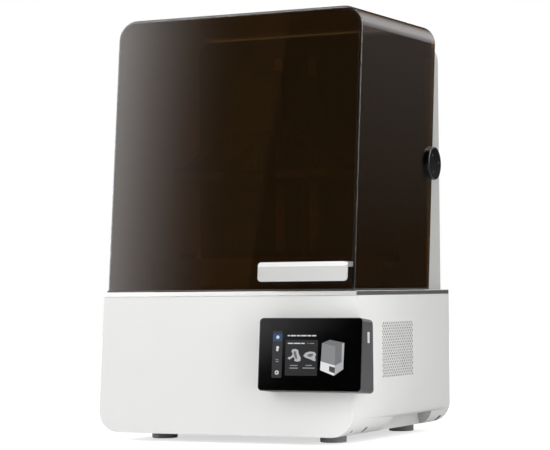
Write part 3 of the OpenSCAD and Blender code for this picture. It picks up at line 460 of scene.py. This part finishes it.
pleated, tree, skin, place = new_material("pleated_filter_paper")
folds = add(tree, "TexWave", {"Vector": place, "Scale": 1 / (20 * MM), "Distortion": 0.3},
            bands_direction="X")
# The tone is darker in the folds' hollows and paler on their crests: painted shade along the pleats.
tone = add(tree, "Mix", {0: folds, 6: linear("#5a5c5f"), 7: linear("#8a8c8f")}, data_type="RGBA")
tree.links.new(tone.outputs[2], skin.inputs["Base Color"])
tree.links.new(add(tree, "Bump", {"Height": folds, "Strength": 0.8, "Distance": 1.5 * MM}).outputs[0],
               skin.inputs["Normal"])
skin.inputs["Roughness"].default_value = 0.9
finished("air_filter", pleated)
for node in ("chamber_fan_frame", "exposure_fan_frame", "light_tunnel", "power_inlet"):
    finished(node, black_abs)
for node in ("chamber_fan_rotor", "exposure_fan_rotor"):
    finished(node, dark_abs)

# ---- Hinge ----
# Ground steel pins turn in coated bushes in the housing's sides. A round knob of glossy black ABS covers
# each pin's end, with a raised rim and three holes for a pin spanner.
ground_steel = satin_metal("ground_steel", "#c9cbcd", "#bdbfc1",
                           roughness=0.24, grain=(1, 1, 0.05), grain_mm=0.5)
coated_steel = moulded_abs("black_coated_steel", "#3b3c3f", "#333437", roughness=0.38)
finished("hinge_bearings", coated_steel)
finished("hinge_pins", ground_steel)
knob_low, knob_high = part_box("hinge_knobs")
knob_centre = Vector((0, (knob_low.y + knob_high.y) / 2, (knob_low.z + knob_high.z) / 2)) / MM
knob_radius = (knob_high.y - knob_low.y) / 2 / MM
knob_face = knob_high.x / MM
knob_thick = knob_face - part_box("cover_shell")[1].x / MM
KNOB_SOFT, FACE_SUNK, RIM_CREST, RIM_W = 1.6, 0.5, 1.8, 4.2
sunk = knob_thick - FACE_SUNK
bm = bmesh.new()
rim = [(0, 0), (knob_radius, 0), (knob_radius, knob_thick - KNOB_SOFT), (knob_radius - FACE_SUNK, sunk),
       (knob_radius - RIM_CREST, knob_thick), (knob_radius - RIM_W, sunk), (0, sunk)]
for side in (-1, 1):
    foot = side * (knob_face - knob_thick)
    line = [bm.verts.new((foot + side * out, knob_centre.y, knob_centre.z + away)) for away, out in rim]
    edges = [bm.edges.new(pair) for pair in zip(line, line[1:])]
    bmesh.ops.spin(bm, geom=line + edges, cent=(0, *knob_centre.yz),
                   axis=(1, 0, 0), angle=math.tau, steps=96, use_merge=True)
bmesh.ops.remove_doubles(bm, verts=bm.verts, dist=1e-4)
bmesh.ops.recalc_face_normals(bm, faces=bm.faces)
knob_abs = moulded_abs("gloss_black_abs", "#0c0c0d", "#0a0a0b", roughness=0.16)
placed(bm, "knob_turnings", "cover", knob_abs, ("hinge_knobs",), unit=MM)
# The spanner holes are thin dark discs on the knob's face: their dark is painted shade for the holes.
HOLE_R, HOLE_OUT, HOLE_T, HOLE_SUNK, HOLE_TURNS = 1.9, 12.8, 0.3, 0.45, (5, 125, 245)
bm = bmesh.new()
for side in (-1, 1):
    for turned in HOLE_TURNS:
        away = Vector((0, math.cos(math.radians(turned)), math.sin(math.radians(turned)))) * HOLE_OUT
        centre = Vector((side * (knob_face - HOLE_SUNK), knob_centre.y, knob_centre.z)) + away
        bmesh.ops.create_cone(bm, cap_ends=True, segments=24, radius1=HOLE_R, radius2=HOLE_R, depth=HOLE_T,
                              matrix=Matrix.Translation(centre) @ Matrix.Rotation(math.pi / 2, 4, "Y"))
hole_shade = moulded_abs("hole_painted_shade", "#0b0b0b", "#090909", roughness=0.8)
placed(bm, "knob_spanner_holes", "cover", hole_shade, unit=MM)

# ---- Touchscreen ----
# A thin box of dark grey ABS hangs on the front, past the right side. Black glass fills its face,
# and the picture shines through it: a menu bar, a file card and a drawing of a printer.
screen_abs = moulded_abs("dark_grey_moulded_abs", "#2f3033", "#2b2c2f", roughness=0.4)
glass_low, glass_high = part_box("screen_glass")
GLASS_T = 2 * MM
glass_tall = ((glass_high.z - glass_low.z) - GLASS_T * math.sin(lean_angle)) / math.cos(lean_angle)
glass_top = Vector(((glass_low.x + glass_high.x) / 2,
                    glass_low.y + glass_tall * math.sin(lean_angle), glass_high.z))
on_glass = Matrix.Translation(glass_top) @ Matrix.Rotation(-lean_angle, 4, "X")
off_glass = on_glass.inverted()
case_rim = moulded_abs("black_moulded_rim", "#111112", "#0e0e0f", roughness=0.35)
eased("screen_housing", "screen_case", [screen_abs, case_rim], radius=0.5,
      at=lambda e: all((off_glass @ v.co).y < EDGE for v in e.verts))


def clear_gloss(name, colour, smear, roughness, alpha=1.0):
    """Polished glass or film, with faint smears from wiping about 12 mm across."""
    material, tree, skin, place = new_material(name)
    wiped = add(tree, "TexNoise", {"Vector": place, "Scale": 1 / (12 * MM), "Detail": 4.0})
    tone = add(tree, "Mix", {0: wiped, 6: linear(colour), 7: linear(smear)}, data_type="RGBA")
    shine = add(tree, "MapRange", {"Value": wiped, "To Min": roughness, "To Max": roughness + 0.05})
    tree.links.new(tone.outputs[2], skin.inputs["Base Color"])
    tree.links.new(shine.outputs[0], skin.inputs["Roughness"])
    skin.inputs["IOR"].default_value = 1.5
    skin.inputs["Alpha"].default_value = alpha
    return material


black_glass = clear_gloss("black_backed_glass", "#010101", "#020202", roughness=0.03)
eased("screen_glass", "screen_pane", black_glass, radius=0.35,
      at=lambda e: all((off_glass @ v.co).y < EDGE for v in e.verts))
finished("display_panel", black_glass)


def lit(name, colour, dimmer, strength=1.0):
    """A patch of the lit display: its own light, with the dot grid of about 0.3 mm drawn at 0.8 mm."""
    material, tree, skin, place = new_material(name)
    dots = add(tree, "TexNoise", {"Vector": place, "Scale": 1 / (0.8 * MM), "Detail": 0.0})
    tone = add(tree, "Mix", {0: dots, 6: linear(colour), 7: linear(dimmer)}, data_type="RGBA")
    tree.links.new(tone.outputs[2], skin.inputs["Emission Color"])
    skin.inputs["Emission Strength"].default_value = strength
    skin.inputs["Base Color"].default_value = linear("#020202")
    skin.inputs["Roughness"].default_value = 0.1
    return material


LAYER_T = 0.06


def drawn(name, finish, outlines, level=1):
    """Flat shapes on the glass, from outlines in mm: right of its middle, and down from its top."""
    bm = bmesh.new()
    for outline in outlines:
        face = bm.faces.new([bm.verts.new((u, -LAYER_T * level, -v)) for u, v in outline])
        made = bmesh.ops.extrude_face_region(bm, geom=[face])["geom"]
        back_verts = [part for part in made if isinstance(part, bmesh.types.BMVert)]
        bmesh.ops.translate(bm, vec=(0, LAYER_T * level, 0), verts=back_verts)
    bmesh.ops.recalc_face_normals(bm, faces=bm.faces)
    bmesh.ops.scale(bm, vec=(MM, MM, MM), verts=bm.verts)
    bmesh.ops.transform(bm, matrix=on_glass, verts=bm.verts)
    return placed(bm, name, "base", finish)


def plate(u0, v0, u1, v1, corner=0.6, steps=4):
    """The outline of a rounded rectangle."""
    centres = [(u1 - corner, v0 + corner, -90), (u1 - corner, v1 - corner, 0),
               (u0 + corner, v1 - corner, 90), (u0 + corner, v0 + corner, 180)]
    turns = [(u, v, math.radians(start + 90 * i / steps))
             for u, v, start in centres for i in range(steps + 1)]
    return [(u + corner * math.cos(a), v + corner * math.sin(a)) for u, v, a in turns]


def disc(u, v, radius, sides=20, teeth=0.0):
    """The outline of a dot, or of a small gear."""
    points = []
    for i in range(sides):
        out = radius + teeth * (i // 2 % 2)
        turned = math.tau * i / sides
        points.append((u + out * math.cos(turned), v + out * math.sin(turned)))
    return points


def dashes(u, v, lengths, tall=1.5, gap=1.1):
    """A row of bars that stands for a line of writing."""
    row = []
    for length in lengths:
        row.append(plate(u, v - tall / 2, u + length, v + tall / 2, corner=0.35, steps=2))
        u += length + gap
    return row


drawn("menu_bar", lit("lit_menu_bar", "#353537", "#303032"), [plate(-50, 15.3, -36.8, 71.9, corner=1.2)])
drawn("file_card", lit("lit_card", "#2f2f31", "#2a2a2c"), [plate(-32.4, 26, 10.4, 69, corner=1.2)])
drawn("menu_choice", lit("lit_blue", "#31507a", "#2b4669"),
      [plate(-49.4, 18.5, -37.3, 27.6, corner=1.0)], 2)
white_light = lit("lit_white", "#d9dadb", "#cbcccd")
grey_light = lit("lit_grey", "#8e8f91", "#828385")
GEAR = disc(-43.1, 65.5, 2.2, sides=32, teeth=0.7)
drawn("menu_icons", white_light,
      [disc(-43.2, 22.8, 2.1), disc(-43.0, 35.3, 1.9), disc(-43.4, 38.2, 1.6), GEAR], 3)
drawn("menu_icons_dim", grey_light, dashes(-45.5, 49.9, [4.3], 0.9) + dashes(-45.2, 52.2, [4.2], 1.1), 3)
drawn("gear_hub", lit("lit_dark", "#2b2b2d", "#262628"), [disc(-43.1, 65.5, 1.1, 16)], 4)
drawn("headline", white_light, dashes(-30, 20.9, [2.8, 7.2, 4.6, 7.2, 5.2, 5.4]), 2)
drawn("card_title", white_light, dashes(-29.6, 30.2, [7.4, 8.6, 4.8], 1.3, 0.9), 2)
drawn("card_title_dim", grey_light, dashes(-3.7, 30.2, [1.8, 6.2], 1.0, 1.4), 2)
drawn("card_captions", grey_light, dashes(-25.7, 56.8, [10.2], 1.2) + dashes(-26.3, 60.0, [11.3], 1.4)
      + dashes(-5.1, 56.6, [8.6], 1.2) + dashes(-8.8, 59.8, [16.2], 1.4), 2)
FIGURE = [(-23.1, 37.4), (-19.3, 36.9), (-15.4, 38.2), (-14.7, 42.1), (-11.7, 47.7), (-12.0, 51.2),
          (-15.8, 52.3), (-20.2, 51.3), (-19.8, 47.8), (-21.8, 46.9), (-26.5, 49.7), (-29.2, 48.5),
          (-28.0, 46.8), (-24.7, 46.1), (-22.4, 43.0), (-24.4, 40.0)]
FIGURE_SHADE = [(-21.6, 40.2), (-18.4, 39.6), (-17.6, 43.2), (-16.2, 47.6), (-17.6, 49.6), (-20.2, 45.8)]
DOME = [(-8.4, 45.1), (-5.6, 41.6), (0.0, 39.9), (5.8, 40.5), (8.7, 42.9), (7.4, 45.9), (8.1, 51.1),
        (6.2, 51.5), (0.4, 49.0), (-5.4, 47.3)]
DOME_SHADE = [(-3.4, 44.0), (0.4, 42.6), (4.4, 42.4), (4.6, 44.8), (1.6, 46.6), (-2.0, 46.0)]
drawn("model_pictures", lit("lit_pale_grey", "#b9babb", "#adaeb0"), [FIGURE, DOME], 2)
drawn("model_shading", lit("lit_mid_grey", "#6d6e70", "#626365"), [FIGURE_SHADE, DOME_SHADE], 3)
COVER_LEFT = [(15.9, 29.9), (33.5, 33.3), (33.8, 56.5), (15.2, 51.0)]
COVER_RIGHT = [(33.5, 33.3), (45.2, 29.3), (44.8, 51.2), (33.8, 56.5)]
COVER_TOP = [(15.9, 29.9), (26.2, 25.8), (45.2, 29.3), (33.5, 33.3)]
COVER_EDGE = [(42.2, 30.5), (45.2, 29.3), (44.8, 51.2), (42.4, 52.4)]
BASE_LEFT = [(14.9, 51.4), (33.8, 56.5), (32.8, 68.7), (14.6, 62.2)]
BASE_RIGHT = [(33.8, 56.5), (44.8, 51.2), (44.8, 60.7), (32.8, 68.7)]
PICTURE_SCREEN = [(26.3, 57.1), (34.0, 59.0), (33.6, 65.9), (26.3, 63.4)]
drawn("picture_cover", grey_light, [COVER_LEFT], 2)
drawn("picture_cover_side", lit("lit_cool_grey", "#7b7c7e", "#707173"), [COVER_RIGHT, COVER_TOP], 2)
drawn("picture_base", lit("lit_bright", "#e6e7e8", "#dcddde"), [BASE_LEFT], 2)
drawn("picture_base_side", lit("lit_soft_white", "#b3b4b6", "#a9aaac"), [BASE_RIGHT, COVER_EDGE], 3)
drawn("picture_screen", lit("lit_slate", "#505154", "#48494c"), [PICTURE_SCREEN], 4)
usb_white = moulded_abs("white_connector_nylon", "#e4e4e2", "#dcdcda", roughness=0.4)
finished("usb_socket", usb_white)


# ---- Exposure unit and electronics ----
# Below the deck an LED board with its heat sink and fan shines up a black tunnel through a lens sheet
# to the LCD. The control board and the boxed supply stand on the floor behind it.
finished("lcd_glass", black_glass)
finished("lcd_panel", black_glass)
lens_acrylic = clear_gloss("clear_moulded_acrylic", "#d7e0e4", "#cdd7dc", roughness=0.08, alpha=0.45)
finished("lens_sheet", lens_acrylic)
raw_aluminium = satin_metal("bead_blasted_aluminium", "#c3c5c7", "#b7b9bb",
                            roughness=0.38, grain_mm=0.5, relief=0.2)
dark_aluminium = satin_metal("dark_anodised_aluminium", "#77797c", "#6d6f72",
                             roughness=0.36, grain_mm=0.5, relief=0.2)
brass = satin_metal("turned_brass", "#c9a34e", "#b8923f",
                    roughness=0.28, grain=(1, 1, 8), grain_mm=1.2, relief=0.2)
finished("heat_sink", raw_aluminium)
finished("board_standoffs", brass)
white_board = clear_gloss("white_solder_mask", "#e6e6e0", "#dcdcd5", roughness=0.35)
green_board = clear_gloss("green_solder_mask", "#1d5a38", "#174a2d", roughness=0.3)
finished("led_board", white_board)
finished("mainboard", green_board)
plated_steel = satin_metal("zinc_plated_steel", "#d2d3d2", "#c4c5c3",
                           roughness=0.3, grain_mm=3, relief=0.05)
LONG_EDGE = 30 * MM
eased("power_supply", "supply_case", plated_steel, radius=0.8, flats=False,
      at=lambda e: e.calc_length() > LONG_EDGE)

# ---- Lift ----
# A folded aluminium column carries two ground rails, and a trapezoidal lead screw stands between them
# on the motor's coupling. The thread is rolled, one turn to 4 mm.
eased("z_column", "lift_column", dark_aluminium, radius=0.5)
eased("linear_rails", "ground_rails", ground_steel, radius=0.6)
CAP_BORE_SIDE, MOTOR_BOSS_SIDE = 30 * MM, 20 * MM
eased("column_cap", "column_lid", dark_aluminium, radius=0.8, flats=False,
      at=lambda e: all(abs(v.co.x) > CAP_BORE_SIDE for v in e.verts))
eased("z_motor", "lift_motor", coated_steel, radius=1.0, flats=False,
      at=lambda e: all(abs(v.co.x) > MOTOR_BOSS_SIDE for v in e.verts))
eased("screw_coupling", "shaft_coupling", raw_aluminium, radius=0.6, flats=False)
screw_low, screw_high = (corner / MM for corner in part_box("lead_screw"))
screw_radius = (screw_high.x - screw_low.x) / 2
screw_axis_y = (screw_high.y + screw_low.y) / 2
LEAD, THREAD_DEEP, CREST_W, FLANK_W, TURN_STEPS, TIP = 4.0, 0.8, 1.3, 0.6, 18, 5.0
turns = int((screw_high.z - screw_low.z - 2 * TIP) / LEAD)
thread_foot = screw_low.z + TIP
bm = bmesh.new()
root = screw_radius - THREAD_DEEP
tooth = [(screw_radius, 0), (screw_radius, CREST_W), (root, CREST_W + FLANK_W),
         (root, LEAD - FLANK_W), (screw_radius, LEAD)]
line = [bm.verts.new((r, screw_axis_y, thread_foot + z)) for r, z in tooth]
edges = [bm.edges.new(pair) for pair in zip(line, line[1:])]
bmesh.ops.spin(bm, geom=line + edges, cent=(0, screw_axis_y, 0), axis=(0, 0, 1), angle=math.tau * turns,
               steps=TURN_STEPS * turns, dvec=(0, 0, LEAD / TURN_STEPS))
bmesh.ops.remove_doubles(bm, verts=bm.verts, dist=1e-3)
thread_head = thread_foot + (turns + 1) * LEAD
for foot, head in ((screw_low.z, thread_foot + LEAD), (thread_head - LEAD, screw_high.z)):
    bmesh.ops.create_cone(bm, cap_ends=True, segments=36, radius1=root, radius2=root, depth=head - foot,
                          matrix=Matrix.Translation((0, screw_axis_y, (foot + head) / 2)))
bmesh.ops.recalc_face_normals(bm, faces=bm.faces)
rolled_steel = satin_metal("rolled_steel_thread", "#cfd1d3", "#c2c4c6",
                           roughness=0.22, grain_mm=2, relief=0.05)
placed(bm, "lead_screw_thread", "screw", rolled_steel, ("lead_screw",), unit=MM)

rail_low, rail_high = (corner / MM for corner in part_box("linear_rails"))
# The rails' bolt holes are thin dark discs on the rails' front: their dark is painted shade for the holes.
RAIL_W, BOLT_PITCH, BOLT_R, FIRST_BOLT, BOLT_ENDS, BOLT_T, BOLT_SUNK = 12, 40, 2.6, 12, 20, 0.2, 0.02
rail_middle = rail_high.x - RAIL_W / 2
bm = bmesh.new()
for side in (-1, 1):
    for i in range(int((rail_high.z - rail_low.z - BOLT_ENDS) / BOLT_PITCH) + 1):
        height = rail_low.z + FIRST_BOLT + i * BOLT_PITCH
        place = Vector((side * rail_middle, rail_low.y + BOLT_SUNK, height))
        bmesh.ops.create_cone(bm, cap_ends=True, segments=20, radius1=BOLT_R, radius2=BOLT_R, depth=BOLT_T,
                              matrix=Matrix.Translation(place) @ Matrix.Rotation(math.pi / 2, 4, "X"))
placed(bm, "rail_bolt_holes", "base", hole_shade, unit=MM)

# ---- Build platform ----
# The carriage rides on four steel blocks and a brass nut. A cast clamp block with cooling ribs hangs on
# it, and under that a bridge with open triangular wings holds two bead-blasted build plates.
for node, name, slot, finish, radius in (
        ("bearing_blocks", "rail_blocks", "ground_steel", ground_steel, 0.5),
        ("carriage_plate", "carriage_slab", "dark_aluminium", dark_aluminium, 0.8),
        ("platform_bridge", "winged_bridge", "dark_aluminium", dark_aluminium, 0.6),
        ("build_plates", "twin_build_plates", "raw_aluminium", raw_aluminium, 1.0)):
    eased(node, name, finish, radius=radius)
eased("clamp_block", "ribbed_clamp", dark_aluminium, radius=0.5, flats=False,
      at=lambda e: e.calc_length() > LONG_EDGE)
finished("screw_nut", brass)
grip_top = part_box("clamp_knob")[1].z
eased("clamp_knob", "scalloped_knob", black_abs, radius=0.8, flats=False,
      at=lambda e: all(v.co.z > grip_top - EDGE for v in e.verts))

# ---- Vat ----
# A milled aluminium frame with a clear release film stretched under it. Two lugs rest on posts, and black
# thumbscrews with moulded grips hold them down.
clear_film = clear_gloss("clear_release_film", "#cfd8dc", "#c5cfd4", roughness=0.06, alpha=0.35)
eased("vat_body", "vat_frame", raw_aluminium, radius=1.0)
finished("vat_film", clear_film)
eased("film_frame", "film_clamp_ring", raw_aluminium, radius=0.5)
POST_EDGE = 15 * MM
eased("vat_posts", "lug_posts", dark_aluminium, radius=0.6, flats=False,
      at=lambda e: e.calc_length() > POST_EDGE)
for side in ("left", "right"):
    grip_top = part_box("thumbscrew_" + side)[1].z
    eased("thumbscrew_" + side, side + "_thumb_grip", black_abs, radius=0.7, flats=False,
          at=lambda e: all(v.co.z > grip_top - EDGE for v in e.verts))

# ---- Cover ----
# The hood is bent from one smoked brown acrylic sheet, and the front pane is glued to its edge. The
# pane's polished front edges get a paler tint, a painted highlight for the thin pale lines they catch, and
# a dark ABS trim runs along the foot.
TINT, SHADOW_TINT = "#5a4226", "#504c47"


def smoked_sheet(name, tint, shadow_tint, roughness, clearness):
    """Cast acrylic: clear and glossy, tinted in the mass. Lamps shine through it as through thin glass."""
    material, tree, skin, place = new_material(name)
    wiped = add(tree, "TexNoise", {"Vector": place, "Scale": 1 / (30 * MM), "Detail": 4.0})
    shine = add(tree, "MapRange", {"Value": wiped, "To Min": roughness, "To Max": roughness + 0.02})
    tree.links.new(shine.outputs[0], skin.inputs["Roughness"])
    skin.inputs["Base Color"].default_value = linear(tint)
    skin.inputs["IOR"].default_value = 1.49
    skin.inputs["Transmission Weight"].default_value = clearness
    to_lamp = add(tree, "LightPath").outputs["Is Shadow Ray"]
    open_to_light = add(tree, "BsdfTransparent", {"Color": linear(shadow_tint)})
    sheet = add(tree, "MixShader", {0: to_lamp, 1: skin, 2: open_to_light})
    tree.links.new(sheet.outputs[0], tree.nodes["Material Output"].inputs["Surface"])
    return material


smoked = smoked_sheet("smoked_cast_acrylic", TINT, SHADOW_TINT, roughness=0.0, clearness=0.925)
# The rounded edges get a paler tint: a painted highlight.
edge_highlight = smoked_sheet("acrylic_edge_painted_highlight", "#a09a92", SHADOW_TINT, roughness=0.12, clearness=1.0)
sheet_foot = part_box("cover_front")[0].z
eased("cover_front", "front_sheet", [smoked, edge_highlight], radius=3.8, segments=6,
      at=lambda e: all(v.co.y < front_plane(v.co.z) + EDGE for v in e.verts)
      and any(v.co.z > sheet_foot + EDGE for v in e.verts))
hood_acrylic = smoked_sheet("smoked_cast_acrylic_hood", TINT, SHADOW_TINT, roughness=0.0, clearness=0.975)
finished("cover_shell", hood_acrylic)
trim_abs = moulded_abs("dark_moulded_trim", "#302d2b", "#2c2927", roughness=0.35)
eased("cover_trim", "lower_trim", trim_abs, radius=0.4, flats=False)

# ---- Handle ----
# An L-shaped pull of white ABS, moulded in one piece and fixed low at the pane's right. Its face is a
# greyer copy of the white, as painted shade, the band along its upper bar keeps the full white, and the
# bar's end is painted grey, as painted shade.
# The face is a greyer copy of the white ABS, as painted shade; its upper band keeps the full white.
handle_face_shade = moulded_abs("white_abs_painted_face_shade", "#cbcbca", "#c6c6c5", roughness=0.44)
# The bar's end is painted grey: painted shade on a piece of white ABS.
handle_end_shade = moulded_abs("abs_end_painted_shade", "#7d7d7d", "#787878", roughness=0.44)
handle_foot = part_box("cover_handle")[0].z
PLATE_BACK, BAND, BRIGHT_SLOT, SHADE_END_SLOT = 15 * MM, 5.5 * MM, 1, 2
on_pane = (Matrix.Translation((0, front_plane(handle_foot), handle_foot))
           @ Matrix.Rotation(-lean_angle, 4, "X"))
off_pane = on_pane.inverted()


def level_bar(bm):
    """Brings the handle's upper bar level, and parts the band that it makes on the face. The bar's end
    gets a grey copy of the white, as painted shade.
    """
    bmesh.ops.transform(bm, matrix=off_pane, verts=bm.verts)
    handle_top = max(v.co.z for v in bm.verts if v.co.y < -PLATE_BACK)
    for v in bm.verts:
        if v.co.y > -PLATE_BACK + EDGE:
            v.co.z += (v.co.y + PLATE_BACK) * math.tan(lean_angle)
    bmesh.ops.bisect_plane(bm, geom=list(bm.verts) + list(bm.edges) + list(bm.faces),
                           plane_co=(0, 0, handle_top - BAND), plane_no=(0, 0, 1))
    for face in bm.faces:
        middle = face.calc_center_median()
        if middle.z > handle_top - BAND and middle.y < -PLATE_BACK:
            face.material_index = BRIGHT_SLOT
        if middle.y > -PLATE_BACK + EDGE and face.normal.x > SQUARE:
            face.material_index = SHADE_END_SLOT
    bmesh.ops.transform(bm, matrix=on_pane, verts=bm.verts)
    bm.normal_update()


eased("cover_handle", "pull_handle", [handle_face_shade, white_abs, handle_end_shade],
      radius=1.0, reshape=level_bar)

# ---- Mains inlet and rear screws ----
# A black inlet with a glossy red nylon rocker sits low on the rear panel, where the mains lead plugs in.
# Four zinc-plated screws hold the panel on, and only their heads are rounded.
red_rocker = clear_gloss("gloss_red_nylon", "#b3262b", "#a52025", roughness=0.18)
finished("power_rocker", red_rocker)
HEAD_T = 1 * MM
eased("panel_screws", "rear_screws", plated_steel, radius=0.4, flats=False,
      at=lambda e: all(v.co.y > rear_high.y + HEAD_T for v in e.verts))

bpy.context.view_layer.update()
